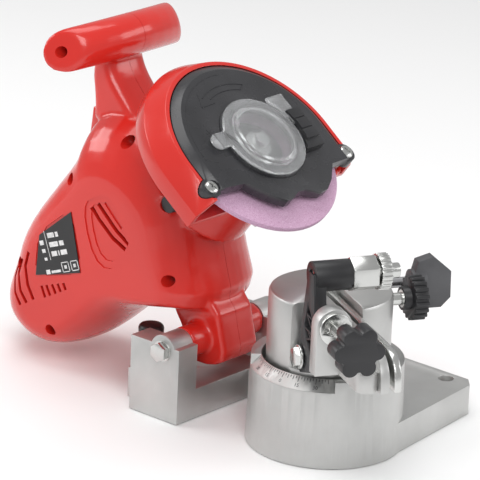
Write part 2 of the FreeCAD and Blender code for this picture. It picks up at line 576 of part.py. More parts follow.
keep("cord_inlet", cut(rod(7.0, 224.0, 234.0, (0.0, 33.0), "y"), rod(3.6, 223.0, 236.0, (0.0, 33.0), "y")))
keep("return_spring", tube(8.2, 5.0, -11.0, 11.0, (pivot_y, pivot_z), "x"))

doc.recompute()
os.makedirs("parts", exist_ok=True)
for item in doc.Objects:
    if "Invalid" in item.State or "Error" in item.State:
        raise SystemExit(f"{item.Label}: {item.State}")
for node in nodes:
    shape = node.Shape
    if shape.isNull() or not shape.isValid() or not shape.Solids:
        raise SystemExit(f"{node.Label} has no valid shape")
for node in nodes:
    node.Shape.exportStep(f"parts/{node.Label}.step")
    print(node.Label, len(node.Shape.Solids), round(node.Shape.Volume))
print(len(nodes), "nodes")
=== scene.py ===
import json
import math
import bmesh
import bpy
from mathutils import Matrix, Vector


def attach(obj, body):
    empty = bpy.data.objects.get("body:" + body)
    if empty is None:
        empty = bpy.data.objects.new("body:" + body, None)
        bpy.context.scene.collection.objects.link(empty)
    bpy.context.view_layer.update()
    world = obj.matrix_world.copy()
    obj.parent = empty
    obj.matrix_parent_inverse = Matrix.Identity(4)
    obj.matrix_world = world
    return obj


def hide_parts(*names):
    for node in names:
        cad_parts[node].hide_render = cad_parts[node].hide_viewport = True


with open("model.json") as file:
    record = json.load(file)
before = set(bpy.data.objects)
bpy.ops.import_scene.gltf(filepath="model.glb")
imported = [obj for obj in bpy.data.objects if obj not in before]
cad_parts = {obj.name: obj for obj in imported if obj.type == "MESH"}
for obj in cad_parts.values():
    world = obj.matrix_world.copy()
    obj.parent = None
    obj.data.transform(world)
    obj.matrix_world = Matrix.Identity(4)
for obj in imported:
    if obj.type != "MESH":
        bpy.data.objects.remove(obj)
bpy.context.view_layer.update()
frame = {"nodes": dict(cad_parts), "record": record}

MM = 0.001
HEAD_TILT = math.radians(37.0)
VISE_TURN = math.radians(-30.0)
WHEEL_CENTRE = Vector((0.0, 61.5, 152.5))
PIVOT = (81.0, 41.5)
GRIP_END = 47.0
SEAM = 0.12
HEAD = Matrix.Translation(WHEEL_CENTRE * MM) @ Matrix.Rotation(HEAD_TILT, 4, "X")
VISE = Matrix.Rotation(VISE_TURN, 4, "Z")
HOME = Matrix.Identity(4)


# ------------------------------------------------------------ camera, lights and floor
def add_camera():
    azimuth, height, roll = math.radians(49.99), math.radians(19.44), math.radians(2.54)
    sin_a, cos_a, sin_h, cos_h = math.sin(azimuth), math.cos(azimuth), math.sin(height), math.cos(height)
    right = Vector((cos_a, -sin_a, 0.0))
    up = Vector((sin_a * sin_h, cos_a * sin_h, cos_h))
    back = Vector((-sin_a * cos_h, -cos_a * cos_h, sin_h))
    across = right * math.cos(roll) + up * math.sin(roll)
    upward = up * math.cos(roll) - right * math.sin(roll)
    eye = Vector((0.0, 60.0, 95.0)) - across * 5.14 + upward * 6.10 + back * 2000.0
    data = bpy.data.cameras.new("camera")
    data.sensor_width = 36.0
    data.lens = 268.5
    data.clip_end = 20.0
    camera = bpy.data.objects.new("camera", data)
    camera.matrix_world = Matrix.Translation(eye * MM) @ Matrix((across, upward, back)).transposed().to_4x4()
    bpy.context.collection.objects.link(camera)
    bpy.context.scene.camera = camera


def add_light(name, at, target, size, power, tint=(1.0, 1.0, 1.0)):
    data = bpy.data.lights.new(name, "AREA")
    data.shape = "RECTANGLE"
    data.size, data.size_y = size
    data.energy = power
    data.color = tint
    lamp = bpy.data.objects.new(name, data)
    lamp.location = at
    lamp.rotation_euler = (Vector(target) - Vector(at)).to_track_quat("-Z", "Y").to_euler()
    bpy.context.collection.objects.link(lamp)


def add_stage():
    bpy.ops.mesh.primitive_plane_add(size=8.0, location=(0.0, 0.0, -0.0005))
    floor = bpy.context.object
    floor.name = "floor"
    material = bpy.data.materials.new("pale_floor")
    material.use_nodes = True
    shader = material.node_tree.nodes["Principled BSDF"]
    shader.inputs["Base Color"].default_value = (0.93, 0.93, 0.93, 1.0)
    shader.inputs["Roughness"].default_value = 0.75
    floor.data.materials.append(material)
    world = bpy.data.worlds.new("studio")
    world.use_nodes = True
    world.node_tree.nodes["Background"].inputs["Color"].default_value = (1.0, 1.0, 1.0, 1.0)
    world.node_tree.nodes["Background"].inputs["Strength"].default_value = 0.47
    bpy.context.scene.world = world
    bpy.context.scene.view_settings.view_transform = "Standard"
    middle = (0.02, 0.08, 0.1)
    add_light("key", (-0.9, -0.75, 1.15), middle, (0.8, 0.8), 10.0)
    add_light("fill", (0.9, -1.0, 0.7), middle, (0.9, 0.6), 5.0)
    add_light("top", (0.0, 0.3, 1.4), middle, (1.2, 0.8), 8.0)
    add_light("rim", (-0.5, 1.2, 0.7), middle, (0.7, 0.5), 5.0)


# ------------------------------------------------------------ materials
class Shader:
    """Small helper that builds one node material."""

    def __init__(self, name, color, roughness, metallic=0.0, turn=0.0):
        self.material = bpy.data.materials.new(name)
        self.material.use_nodes = True
        self.tree = self.material.node_tree
        self.bsdf = self.tree.nodes["Principled BSDF"]
        self.bsdf.inputs["Base Color"].default_value = (*color, 1.0)
        self.bsdf.inputs["Roughness"].default_value = roughness
        self.bsdf.inputs["Metallic"].default_value = metallic
        place = self.node("ShaderNodeTexCoord")
        self.coords = place.outputs["Object"]
        if turn:
            mapping = self.node("ShaderNodeMapping")
            mapping.inputs["Rotation"].default_value = (0.0, 0.0, turn)
            self.link(place.outputs["Object"], mapping.inputs["Vector"])
            self.coords = mapping.outputs["Vector"]
        self.normal = None

    def node(self, kind, **values):
        item = self.tree.nodes.new(kind)
        for key, value in values.items():
            item.inputs[key].default_value = value
        return item

    def link(self, source, target):
        self.tree.links.new(source, target)

    def stretched(self, scale):
        mapping = self.node("ShaderNodeMapping")
        mapping.inputs["Scale"].default_value = scale
        self.link(self.coords, mapping.inputs["Vector"])
        return mapping.outputs["Vector"]

    def noise(self, scale, detail=4.0, stretch=None):
        item = self.node("ShaderNodeTexNoise", Scale=scale, Detail=detail)
        self.link(self.stretched(stretch) if stretch else self.coords, item.inputs["Vector"])
        return item.outputs["Fac"]

    def ramp(self, source, stops):
        item = self.tree.nodes.new("ShaderNodeValToRGB")
        band = item.color_ramp
        while len(band.elements) < len(stops):
            band.elements.new(0.5)
        for element, (place, color) in zip(band.elements, stops):
            element.position = place
            element.color = (*color, 1.0)
        self.link(source, item.inputs["Fac"])
        return item.outputs["Color"]

    def tone(self, source, stops):
        self.link(self.ramp(source, stops), self.bsdf.inputs["Base Color"])

    def gloss(self, source, low, high):
        item = self.node("ShaderNodeMapRange")
        item.inputs["To Min"].default_value = low
        item.inputs["To Max"].default_value = high
        self.link(source, item.inputs["Value"])
        self.link(item.outputs["Result"], self.bsdf.inputs["Roughness"])

    def bump(self, source, distance, strength=1.0):
        item = self.node("ShaderNodeBump", Distance=distance, Strength=strength)
        self.link(source, item.inputs["Height"])
        if self.normal:
            self.link(self.normal, item.inputs["Normal"])
        self.normal = item.outputs["Normal"]
        self.link(self.normal, self.bsdf.inputs["Normal"])


def grade(color, amount):
    return tuple(min(1.0, channel * amount) for channel in color)


def red_plastic():
    base = (0.62, 0.022, 0.015)
    shade = Shader("red_gloss", base, 0.2)
    shade.bsdf.inputs["Coat Weight"].default_value = 0.25
    shade.bsdf.inputs["Coat Roughness"].default_value = 0.07
    shade.bsdf.inputs["Subsurface Weight"].default_value = 0.03
    shade.bsdf.inputs["Subsurface Scale"].default_value = 0.002
    shade.bsdf.inputs["Subsurface Radius"].default_value = (1.0, 0.2, 0.1)
    shade.tone(shade.noise(9.0, 3.0), [(0.3, grade(base, 0.93)), (0.7, grade(base, 1.07))])
    shade.gloss(shade.noise(55.0, 6.0), 0.14, 0.3)
    shade.bump(shade.noise(120.0, 2.0), 0.00006, 0.5)
    shade.bump(shade.noise(1900.0, 2.0), 0.00001, 0.5)
    return shade.material


def plastic(name, color, low, high, grain):
    shade = Shader(name, color, low)
    shade.tone(shade.noise(40.0, 5.0), [(0.3, grade(color, 0.8)), (0.7, grade(color, 1.25))])
    shade.gloss(shade.noise(90.0, 6.0), low, high)
    shade.bump(shade.noise(1500.0, 3.0), grain, 0.7)
    return shade.material


def metal(name, color, low, high, stretch, turn=0.0, grain=0.00002, spots=600.0):
    shade = Shader(name, color, low, 1.0, turn)
    shade.tone(shade.noise(28.0, 6.0), [(0.25, grade(color, 0.86)), (0.75, grade(color, 1.08))])
    shade.gloss(shade.noise(60.0, 7.0), low, high)
    shade.bump(shade.noise(spots, 3.0, stretch), grain, 0.6)
    return shade.material


def threaded(name, axis, pitch, turn=0.0):
    """Zinc-plated steel with thread ridges across the given axis."""
    color = (0.74, 0.75, 0.72)
    shade = Shader(name, color, 0.22, 1.0, turn)
    wave = shade.node("ShaderNodeTexWave", Scale=math.pi / (10.0 * pitch))
    wave.wave_type = "BANDS"
    wave.bands_direction = axis
    wave.wave_profile = "TRI"
    shade.link(shade.coords, wave.inputs["Vector"])
    # painted shade: the colour falls to 0.45 of the zinc colour in the thread grooves
    shade.tone(wave.outputs["Fac"], [(0.0, grade(color, 0.45)), (0.6, color)])
    shade.bump(wave.outputs["Fac"], pitch * 0.4, 0.9)
    return shade.material


def clear_plastic():
    shade = Shader("clear_polycarbonate", (0.94, 0.95, 0.96), 0.06)
    shade.bsdf.inputs["Transmission Weight"].default_value = 0.86
    shade.bsdf.inputs["IOR"].default_value = 1.4
    shade.gloss(shade.noise(110.0, 5.0), 0.1, 0.26)
    shade.bump(shade.noise(160.0, 3.0), 0.00005, 0.5)
    return shade.material


def abrasive():
    shade = Shader("pink_abrasive", (0.6, 0.38, 0.53), 0.9)
    grit = shade.node("ShaderNodeTexVoronoi", Scale=1500.0)
    shade.link(shade.coords, grit.inputs["Vector"])
    shade.tone(shade.noise(1500.0, 6.0), [(0.28, (0.42, 0.22, 0.34)), (0.42, (0.55, 0.33, 0.48)),
                                          (0.62, (0.62, 0.40, 0.56)), (0.75, (0.74, 0.56, 0.68))])
    shade.bump(grit.outputs["Distance"], 0.0002, 0.8)
    shade.bump(shade.noise(300.0, 5.0), 0.0001, 0.6)
    return shade.material


def copper():
    shade = Shader("wound_copper", (0.55, 0.22, 0.09), 0.35, 1.0)
    shade.tone(shade.noise(60.0, 4.0), [(0.3, (0.35, 0.12, 0.05)), (0.7, (0.7, 0.32, 0.14))])
    shade.bump(shade.noise(900.0, 2.0, (0.2, 1.0, 1.0)), 0.0001, 0.9)
    return shade.material


def paint(name, color):
    shade = Shader(name, color, 0.5)
    shade.tone(shade.noise(400.0, 4.0), [(0.35, grade(color, 0.75)), (0.6, color)])
    shade.bump(shade.noise(1600.0, 2.0), 0.00001, 0.5)
    return shade.material


LOOKS = {
    "red_plastic": red_plastic(),
    "black_plastic": plastic("black_moulding", (0.018, 0.018, 0.02), 0.3, 0.5, 0.00002),
    "cover_plastic": plastic("cover_moulding", (0.03, 0.03, 0.033), 0.2, 0.34, 0.00001),
    "grey_plastic": plastic("grey_moulding", (0.075, 0.075, 0.08), 0.4, 0.6, 0.00003),
    "cast_aluminium": metal("cast_aluminium", (0.6, 0.6, 0.59), 0.42, 0.58, (1, 1, 1), 0.0, 0.00005, 900.0),
    "machined_aluminium": metal("machined_aluminium", (0.58, 0.58, 0.57), 0.38, 0.52, (1, 1, 18), 0.0),
    "zinc_steel": metal("zinc_steel", (0.66, 0.665, 0.65), 0.16, 0.3, (1, 1, 1), 0.0, 0.00002, 400.0),
    "steel": metal("ground_steel", (0.42, 0.42, 0.43), 0.25, 0.4, (1, 12, 1)),
    "copper": copper(),
    "clear_plastic": clear_plastic(),
    "pink_abrasive": abrasive(),
    "label": plastic("label_film", (0.012, 0.012, 0.013), 0.28, 0.42, 0.000005),
    "thread_y": threaded("thread_along", "Y", 1.25 * MM, -VISE_TURN),
    "white_ink": paint("white_ink", (0.8, 0.8, 0.8)),
    "dark_ink": paint("dark_ink", (0.05, 0.05, 0.055)),
    # painted shade: dark_recess is a darkened copy of the red plastic, laid on the vent slot floors so the
    # slots look shaded
    "dark_recess": plastic("dark_recess", (0.16, 0.006, 0.005), 0.5, 0.7, 0.00002),
}
SLOT_OF = {row["node"]: row["material_slot"] for row in frame["record"]["subparts"]}
BODY_OF = {node: body for body, nodes in frame["record"]["behaviour"]["bodies"].items() for node in nodes}


# ------------------------------------------------------------ mesh helpers
def link(name, mesh, matrix=HOME):
    piece = bpy.data.objects.new(name, mesh)
    bpy.context.collection.objects.link(piece)
    mesh.transform(matrix)
    return piece


def from_faces(name, points, faces, matrix=HOME):
    mesh = bpy.data.meshes.new(name)
    mesh.from_pydata([Vector(p) * MM for p in points], [], faces)
    mesh.update()
    return link(name, mesh, matrix)


def ringed(name, rings, matrix=HOME, closed_ends=True):
    """Skin through rings of matching points, in millimetres."""
    count = len(rings[0])
    points = [p for ring in rings for p in ring]
    steps = [(i, (i + 1) % count) for i in range(count)]
    faces = [[r * count + i, r * count + j, (r + 1) * count + j, (r + 1) * count + i]
             for r in range(len(rings) - 1) for i, j in steps]
    if closed_ends:
        faces += [list(range(count))[::-1], [(len(rings) - 1) * count + i for i in range(count)]]
    piece = from_faces(name, points, faces, matrix)
    fix_normals(piece)
    return piece


def fix_normals(piece):
    work = bmesh.new()
    work.from_mesh(piece.data)
    bmesh.ops.recalc_face_normals(work, faces=work.faces)
    work.to_mesh(piece.data)
    work.free()


def turned(name, profile, matrix=HOME, axis="z", at=(0.0, 0.0), steps=48):
    """A closed outline of (radius, height) turned about an axis."""
    rings = []
    for k in range(steps):
        a = 2 * math.pi * k / steps
        ring = []
        for r, z in profile:
            u, v = r * math.cos(a) + at[0], r * math.sin(a) + at[1]
            ring.append({"x": (z, u, v), "y": (u, z, v), "z": (u, v, z)}[axis])
        rings.append(ring)
    rings.append(rings[0])
    piece = ringed(name, rings, matrix, False)
    merge(piece)
    return piece


def merge(piece, distance=1e-6):
    work = bmesh.new()
    work.from_mesh(piece.data)
    bmesh.ops.remove_doubles(work, verts=work.verts, dist=distance)
    bmesh.ops.dissolve_degenerate(work, edges=work.edges, dist=distance)
    bmesh.ops.recalc_face_normals(work, faces=work.faces)
    work.to_mesh(piece.data)
    work.free()


def bake(piece):
    """Replace the mesh with its modified form."""
    bpy.context.view_layer.update()
    graph = bpy.context.evaluated_depsgraph_get()
    mesh = bpy.data.meshes.new_from_object(piece.evaluated_get(graph))
    piece.modifiers.clear()
    piece.data = mesh
    return piece


def smooth(piece, angle=35.0):
    piece.data.shade_smooth()
    piece.data.set_sharp_from_angle(angle=math.radians(angle))


def bevelled(piece, width, segments=2, angle=32.0):
    modifier = piece.modifiers.new("edges", "BEVEL")
    modifier.width = width * MM
    modifier.segments = segments
    modifier.limit_method = "ANGLE"
    modifier.angle_limit = math.radians(angle)
    modifier.use_clamp_overlap = True
    return bake(piece)


def boolean(piece, other, operation="DIFFERENCE"):
    modifier = piece.modifiers.new("join", "BOOLEAN")
    modifier.operation = operation
    modifier.solver = "EXACT"
    modifier.object = other
    bake(piece)
    bpy.data.objects.remove(other)
    return piece


def finished(piece, body, look, replaces=(), angle=35.0):
    piece.data.materials.clear()
    piece.data.materials.append(LOOKS[look])
    smooth(piece, angle)
    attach(piece, body)
    if replaces:
        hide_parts(*replaces)
    return piece


def refined(node, width, look=None, segments=2, angle=32.0, cutters=()):
    """A copy of a CAD part with grooves cut and its sharp edges rounded, standing for it."""
    mesh = frame["nodes"][node].data.copy()
    piece = bpy.data.objects.new("fine_" + node, mesh)
    bpy.context.collection.objects.link(piece)
    work = bmesh.new()
    work.from_mesh(mesh)
    bmesh.ops.remove_doubles(work, verts=work.verts, dist=2e-6)
    bmesh.ops.dissolve_limit(work, angle_limit=math.radians(1.0), verts=work.verts, edges=work.edges)
    work.to_mesh(mesh)
    work.free()
    for cutter in cutters:
        boolean(piece, cutter)
    bevelled(piece, width, segments, angle)
    return finished(piece, BODY_OF[node], look or SLOT_OF[node], [node])


# ------------------------------------------------------------ red housing
BODY = [(69.0, 60.0), (80.0, 95.0), (86.0, 127.0), (112.0, 149.0), (137.0, 163.0), (158.0, 160.0),
        (167.0, 150.0), (169.0, 139.0), (175.0, 128.0), (188.0, 111.0), (204.0, 90.0), (213.0, 74.0),
        (218.0, 57.0), (223.5, 44.0), (226.5, 33.0), (224.0, 22.0), (213.0, 12.5), (199.0, 7.5),
        (185.0, 7.0), (171.0, 12.5), (157.0, 23.5), (141.0, 38.5), (128.0, 47.0), (114.0, 51.0),
        (92.0, 57.0)]
SIDE = [(94.0, 67.0), (103.0, 84.0), (112.0, 108.0), (124.0, 118.0), (138.0, 120.0), (148.0, 118.0),
        (154.0, 114.0), (159.0, 110.0), (164.0, 105.0), (173.0, 96.0), (185.0, 82.0), (192.0, 70.0),
        (195.0, 58.0), (198.0, 47.0), (200.0, 38.0), (198.0, 30.0), (192.0, 25.0), (185.0, 23.5),
        (178.0, 25.0), (170.0, 30.0), (160.0, 40.0), (147.0, 53.0), (134.0, 59.0), (119.0, 60.5),
        (104.0, 62.0)]
KNUCKLE = [(61.5, 32.0), (66.0, 48.0), (69.0, 61.0), (90.0, 75.0), (104.0, 60.0), (101.0, 51.5),
           (96.0, 44.8), (93.5, 38.5), (92.0, 31.0), (89.0, 25.5), (72.7, 25.5)]
NECK = [(122.0, 150.0), (137.0, 162.0), (144.0, 169.0), (152.0, 178.0), (156.0, 187.0), (156.5, 196.0),
        (167.0, 196.0), (169.5, 188.0), (171.5, 177.0), (170.0, 168.0), (169.0, 158.0), (169.5, 146.0)]
SCREWS = ((89.4, 77.6), (175.6, 25.0), (166.0, 118.5), (203.0, 58.5), (130.5, 147.5))


def inset(points, distance):
    """Move every corner of a clockwise outline inwards by distance."""
    moved = []
    for i, here in enumerate(points):
        before, after = points[i - 1], points[(i + 1) % len(points)]
        a = Vector((here[0] - before[0], here[1] - before[1])).normalized()
        b = Vector((after[0] - here[0], after[1] - here[1])).normalized()
        n = Vector((a.y + b.y, -a.x - b.x)).normalized()
        stretch = max(0.5, n.dot(Vector((a.y, -a.x))))
        moved.append((here[0] + n.x * distance / stretch, here[1] + n.y * distance / stretch))
    return moved


def rounded(points, times=2):
    """Corner-cutting that turns an outline into a smooth curve."""
    for _ in range(times):
        finer = []
        for i, here in enumerate(points):
            after = points[(i + 1) % len(points)]
            finer.append((here[0] * 0.75 + after[0] * 0.25, here[1] * 0.75 + after[1] * 0.25))
            finer.append((here[0] * 0.25 + after[0] * 0.75, here[1] * 0.25 + after[1] * 0.75))
        points = finer
    return points


def between(outer, inner, part):
    return [(a[0] + (b[0] - a[0]) * part, a[1] + (b[1] - a[1]) * part) for a, b in zip(outer, inner)]


def both_sides(name, half, levels):
    """A block that is the same on both sides of the middle; levels are (part of half width, outline)."""
    sides = [(-part, outline) for part, outline in reversed(levels[1:])] + list(levels)
    return ringed(name, [[(part * half, y, z) for y, z in rounded(outline, 1)] for part, outline in sides])


def box_piece(name, low, high, matrix=HOME):
    x, y, z = low
    a, b, c = high
    points = [(x, y, z), (a, y, z), (a, b, z), (x, b, z), (x, y, c), (a, y, c), (a, b, c), (x, b, c)]
    faces = [(0, 3, 2, 1), (4, 5, 6, 7), (0, 1, 5, 4), (1, 2, 6, 5), (2, 3, 7, 6), (3, 0, 4, 7)]
    return from_faces(name, points, faces, matrix)


def drum(name, radius, start, end, at=(0.0, 0.0), axis="z", matrix=HOME, steps=48):
    return turned(name, [(0.0, start), (radius, start), (radius, end), (0.0, end)], matrix, axis, at, steps)


def grip_centre(x):
    """The cross handle's middle line: its ends bend back and droop a little."""
    bend = (x / GRIP_END) ** 2
    return 155.0 + 9.0 * bend, 200.0 - 3.5 * bend


def grip_ring(radius, x, slant):
    y, z = grip_centre(x)
    ring = []
    for k in range(40):
        dy, dz = radius * math.cos(2 * math.pi * k / 40), radius * math.sin(2 * math.pi * k / 40)
        ring.append((x + math.copysign(slant, x) * (0.45 * dy - 0.25 * dz), y + dy, z + dz))
    return ring


def grip_piece():
    """The cross handle, cut off on a slant at both ends."""
    half = [(12.2, 0.15, 0.15), (12.2, 0.4, 0.4), (12.2, 0.65, 0.65), (12.2, 0.85, 0.85), (12.1, 0.93, 1.0),
            (11.5, 0.965, 1.0), (10.0, 0.985, 1.0), (8.0, 0.99, 1.0)]
    rings = [grip_ring(radius, -GRIP_END * part, slant) for radius, part, slant in reversed(half)]
    rings += [grip_ring(radius, GRIP_END * part, slant) for radius, part, slant in half]
    return ringed("grip", rings)


def slot_cutter(points, width, depth=(30.0, 45.0)):
    """A cutter for a long slot through the left and right side faces, along a bent line."""
    lines = []
    for i, here in enumerate(points):
        before, after = points[max(0, i - 1)], points[min(len(points) - 1, i + 1)]
        run = Vector((after[0] - before[0], after[1] - before[1])).normalized()
        lines.append((here, Vector((-run.y, run.x)) * width * 0.5))
    loop = [(h[0] + n.x, h[1] + n.y) for h, n in lines]
    loop += [(h[0] - n.x, h[1] - n.y) for h, n in reversed(lines)]
    return [ringed("slot", [[(s * d, y, z) for y, z in loop] for d in depth]) for s in (-1, 1)]


def join(pieces, name):
    work = bmesh.new()
    for piece in pieces:
        work.from_mesh(piece.data)
        bpy.data.objects.remove(piece)
    mesh = bpy.data.meshes.new(name)
    work.to_mesh(mesh)
    work.free()
    return link(name, mesh)


SWELL = ((0.0, 0.0), (0.17, 0.015), (0.34, 0.06), (0.5, 0.134), (0.64, 0.232), (0.77, 0.362),
         (0.87, 0.507), (0.94, 0.659), (0.985, 0.83), (1.0, 1.0))
LABEL = [(161.0, 103.0), (186.5, 82.0), (188.5, 55.0), (150.5, 66.0)]
PANEL = [(154.5, 107.0), (139.5, 116.5), (131.8, 116.5), (126.0, 110.0), (111.5, 86.1), (139.3, 68.5)]
PANEL_FACE = [(149.1, 106.5), (137.4, 113.5), (131.6, 112.5), (121.4, 99.2), (115.0, 87.6), (137.2, 74.5)]
LONG_SLOTS = [((146.3, 107.3), (140.7, 101.4), (129.7, 93.0), (120.0, 88.7)),
              ((141.6, 110.6), (135.0, 104.8), (127.1, 98.0), (117.5, 92.4))]
FAINT_SLOT = ((136.2, 112.6), (129.8, 106.6), (122.9, 100.6))
REAR_SLOTS = [((193.9, 68.0), (196.2, 59.0), (193.8, 48.1), (189.0, 40.1)),
              ((199.7, 62.2), (202.4, 53.0), (199.6, 42.9), (194.4, 36.6)),
              ((205.0, 55.6), (206.8, 49.0), (204.5, 40.3), (199.3, 34.0))]
SHORT_SLOTS = [((182.9, 50.4), (179.7, 44.0)), ((179.0, 51.8), (175.8, 46.2)), ((174.6, 53.4), (171.5, 48.5)),
               ((170.2, 55.0), (167.6, 50.7)), ((165.8, 56.6), (163.7, 52.9))]


def housing():
    levels = [(part, between(BODY, SIDE, share)) for part, share in SWELL]
    body = both_sides("body", 38.0, levels)
    knuckle = both_sides("knuckle", 15.0, [(0.0, KNUCKLE), (0.92, KNUCKLE), (1.0, inset(KNUCKLE, 1.2))])
    neck = both_sides("neck", 16.0, [(part, inset(NECK, d)) for part, d in
                                     ((0.0, 0.0), (0.45, 0.2), (0.7, 1.0), (0.88, 2.4), (1.0, 4.6))])
    boss = drum("boss", 9.3, -30.0, 30.0, PIVOT, "x")
    collar = drum("collar", 25.0, -50.0, -12.8, matrix=HEAD)
    shell = join([body, knuckle, neck, boss, collar, grip_piece()], "housing")
    remesh = shell.modifiers.new("skin", "REMESH")
    remesh.mode = "VOXEL"
    remesh.voxel_size = 0.0011
    relax = shell.modifiers.new("relax", "SMOOTH")
    relax.factor = 0.5
    relax.iterations = 9
    bake(shell)
    cutters = []
    for y, z in SCREWS:
        cutters.append(drum("hole", 3.4, -46.0, -16.0, (y, z), "x", steps=24))
        cutters.append(drum("hole", 3.4, 16.0, 46.0, (y, z), "x", steps=24))
    recess_at = grip_centre(GRIP_END)
    cutters += [drum("hole", 3.3, -62.0, -36.0, recess_at, "x", steps=24),
                drum("hole", 3.3, 36.0, 62.0, recess_at, "x", steps=24)]
    for outline, depth in ((PANEL, 37.3), (PANEL_FACE, 36.7)):
        loop = rounded(outline, 2)
        for side in (-1, 1):
            cutters.append(ringed("panel", [[(side * d, y, z) for y, z in loop] for d in (depth, 45.0)]))
    cutters.append(ringed("label", [[(-d, y, z) for y, z in rounded(LABEL, 1)] for d in (37.4, 45.0)]))
    # painted shade: thin dark plates at the bottom of every vent slot stand for the shade inside the slots
    shade_floors = []
    for lines, width, depth in ((LONG_SLOTS, 2.7, 31.0), (REAR_SLOTS, 2.3, 27.0), (SHORT_SLOTS, 2.0, 31.0)):
        for line in lines:
            cutters += slot_cutter(line, width, (depth, 45.0))
            shade_floors += slot_cutter(line, width + 0.4, (depth - 0.5, depth + 1.5))
    cutters += slot_cutter(FAINT_SLOT, 2.4, (35.9, 45.0))
    finished(join(shade_floors, "slot_shade_floors"), "head", "dark_recess")
    cutters.append(box_piece("switch_room", (-7.4, 163.0, 133.6), (7.4, 190.0, 154.4)))
    cutters.append(drum("inlet_room", 7.1, 220.0, 240.0, (0.0, 33.0), "y"))
    cutters.append(drum("bush_room", 4.55, -31.0, 31.0, PIVOT, "x", steps=32))
    cutters.append(drum("button_room", 5.2, -46.0, -18.5, (95.0, 120.5), "x"))
    for cutter in cutters:
        merge(cutter)
    tool = join(cutters, "cutters")
    shell.modifiers.new("cut", "BOOLEAN")
    boolean_settings = shell.modifiers["cut"]
    boolean_settings.operation = "DIFFERENCE"
    boolean_settings.solver = "EXACT"
    boolean_settings.use_self = True
    boolean_settings.object = tool
    bake(shell)
    bpy.data.objects.remove(tool)
    for side, node in ((-1, "housing_left"), (1, "housing_right")):
        work = bmesh.new()
        work.from_mesh(shell.data)
        geometry = work.verts[:] + work.edges[:] + work.faces[:]
        cut = bmesh.ops.bisect_plane(work, geom=geometry, plane_co=(side * SEAM * MM, 0, 0),
                                     plane_no=(side, 0, 0), clear_inner=True)
        rim = [e for e in cut["geom_cut"] if isinstance(e, bmesh.types.BMEdge)]
        bmesh.ops.triangle_fill(work, edges=rim, use_beauty=True)
        bmesh.ops.recalc_face_normals(work, faces=work.faces)
        mesh = bpy.data.meshes.new("shell")
        work.to_mesh(mesh)
        work.free()
        piece = link("shell_" + node.split("_")[1], mesh)
        finished(piece, "head", "red_plastic", [node], 42.0)
    bpy.data.objects.remove(shell)


# ------------------------------------------------------------ small surface details
def strip(name, line, width, low, high, matrix=HOME):
    """A thin raised ridge along a bent line in the XY plane, between two heights."""
    rings = []
    for i, here in enumerate(line):
        before, after = line[max(0, i - 1)], line[min(len(line) - 1, i + 1)]
        run = Vector((after[0] - before[0], after[1] - before[1])).normalized()
        n = Vector((-run.y, run.x)) * width * 0.5
        crest = n * 0.6
        foot = [(here[0] + n.x, here[1] + n.y, low), (here[0] - n.x, here[1] - n.y, low)]
        top = [(here[0] - crest.x, here[1] - crest.y, high), (here[0] + crest.x, here[1] + crest.y, high)]
        rings.append(foot + top)
    return ringed(name, rings, matrix)


def polar(radius, degrees):
    return (radius * math.cos(math.radians(degrees)), radius * math.sin(math.radians(degrees)))


def arc_line(radius, start, end, steps=24):
    return [polar(radius, start + (end - start) * k / steps) for k in range(steps + 1)]


def cover_marks():
    """The moulded arrow that shows which way the wheel turns, and the rim line round the face."""
    face = 10.95
    tip, outer, inner = polar(38.0, 128.0), polar(43.5, 117.0), polar(33.0, 112.0)
    sign = Vector((-31.5, 14.0))
    arms = [Vector(polar(2.4, 20.0 + turn)) for turn in (0.0, 90.0)]
    arrow = [arc_line(40.0, 66.0, 118.0), arc_line(36.0, 70.0, 112.0), [polar(40.0, 66.0), polar(36.0, 70.0)],
             [outer, tip], [tip, inner]]
    rim = [arc_line(47.3, 84.0, 182.0, 36), [(-47.2, -1.6), (-40.0, -5.0)]]
    cross = [[tuple(sign - arm), tuple(sign + arm)] for arm in arms]
    ridges = [strip("mark", line, 0.8, face, face + 0.35, HEAD) for line in arrow]
    ridges += [strip("mark", line, 0.9, face, face + 0.3, HEAD) for line in rim]
    ridges += [strip("mark", line, 0.7, face, face + 0.3, HEAD) for line in cross]
    finished(join(ridges, "cover_marks"), "head", "cover_plastic")


def housing_screws():
    """The case screws, sunk in their holes; the one in the neck sits deeper."""
    made = []
    for y, z in SCREWS:
        top = -18.4 if z > 130.0 else -24.4
        profile = [(0.0, 2.2), (3.0, 2.2), (3.0, 0.6), (2.4, 0.1), (1.2, 0.0), (0.9, 0.9), (0.0, 1.0)]
        made.append(turned("head", [(radius, top + deep) for radius, deep in profile], HOME, "x", (y, z), 32))
        made.append(drum("shank", 1.6, top + 2.0, 11.9, (y, z), "x", steps=24))
    finished(join(made, "case_screws"), "head", "zinc_steel", ["housing_screws"])


def cross_screws():
    """Pan heads with a cross recess, on the cover's two lugs."""
    made = []
    for at in ((-55.0, -17.0), (55.0, -22.0)):
        profile = [(0.0, 8.6), (4.1, 8.6), (4.15, 9.3), (3.7, 10.1), (2.6, 10.6), (0.0, 10.75)]
        head = turned("head", profile, HEAD, "z", at, 40)
        centre = HEAD @ Matrix.Translation(Vector((*at, 0.0)) * MM)
        for turn in (25.0, 115.0):
            local = centre @ Matrix.Rotation(math.radians(turn), 4, "Z")
            boolean(head, box_piece("bit", (-2.1, -0.45, 9.6), (2.1, 0.45, 12.0), local))
        made.append(head)
        made.append(drum("shank", 2.0, -9.0, 8.7, at, "z", HEAD, 24))
    piece = join(made, "cover_screw_heads")
    finished(piece, "head", "zinc_steel", ["cover_screws"], 30.0)


